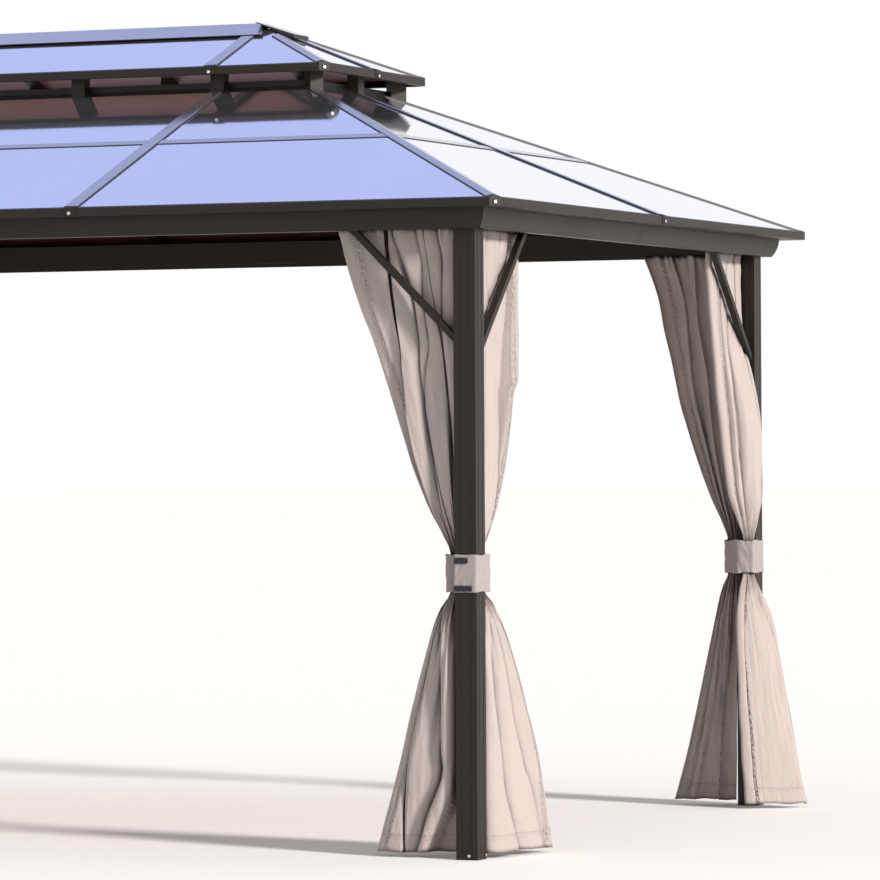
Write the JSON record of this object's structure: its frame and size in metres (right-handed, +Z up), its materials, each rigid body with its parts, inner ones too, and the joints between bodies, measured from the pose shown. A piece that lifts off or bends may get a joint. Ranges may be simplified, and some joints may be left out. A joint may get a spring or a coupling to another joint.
{
  "type": "hardtop gazebo",
  "caption": "Open-frame garden gazebo with a vented two-tier hipped panel roof, cove fascias, knee braces and tied-back corner curtains.",
  "frame": {"origin": "on the floor at the middle of the plan", "axes": "+X along the long side towards the right as seen from the front, +Y towards the back, +Z up"},
  "size_m": [4.414, 3.254, 3.0346],
  "materials": {
    "frame_metal": "dark brown powder-coated aluminium, satin",
    "cap_metal": "dark brown powder-coated aluminium, satin",
    "roof_panel": "bronze polycarbonate sheet with a mirror-like skin that reflects the sky",
    "curtain_fabric": "taupe woven polyester, matte",
    "tie_fabric": "taupe woven polyester band, matte"
  },
  "bodies": {
    "root": {"beam_back": "frame_metal", "beam_front": "frame_metal", "beam_left": "frame_metal", "beam_right": "frame_metal", "cap_end_plates": "frame_metal", "cove_back": "frame_metal", "cove_front": "frame_metal", "cove_left": "frame_metal", "cove_right": "frame_metal", "curtain_back_left": "curtain_fabric", "curtain_back_right": "curtain_fabric", "curtain_front_left": "curtain_fabric", "curtain_front_right": "curtain_fabric", "curtain_rails": "frame_metal", "curtain_ties": "tie_fabric", "knee_braces": "frame_metal", "lower_eave_back": "frame_metal", "lower_eave_front": "frame_metal", "lower_eave_left": "frame_metal", "lower_eave_right": "frame_metal", "lower_hip_caps": "cap_metal", "lower_panel_back": "roof_panel", "lower_panel_front": "roof_panel", "lower_panel_left": "roof_panel", "lower_panel_right": "roof_panel", "lower_rafter_caps": "cap_metal", "lower_rafters": "frame_metal", "panel_joints": "cap_metal", "post_back_left": "frame_metal", "post_back_right": "frame_metal", "post_front_left": "frame_metal", "post_front_right": "frame_metal", "ridge_beam": "frame_metal", "ridge_cap": "cap_metal", "upper_eave_long": "frame_metal", "upper_eave_short": "frame_metal", "upper_hip_caps": "cap_metal", "upper_hips": "frame_metal", "upper_panels_long": "roof_panel", "upper_panels_short": "roof_panel", "upper_rafter_caps": "cap_metal", "upper_rafters": "frame_metal", "vent_brackets": "frame_metal", "vent_ring_long": "frame_metal", "vent_ring_short": "frame_metal"}
  },
  "joints": []
}
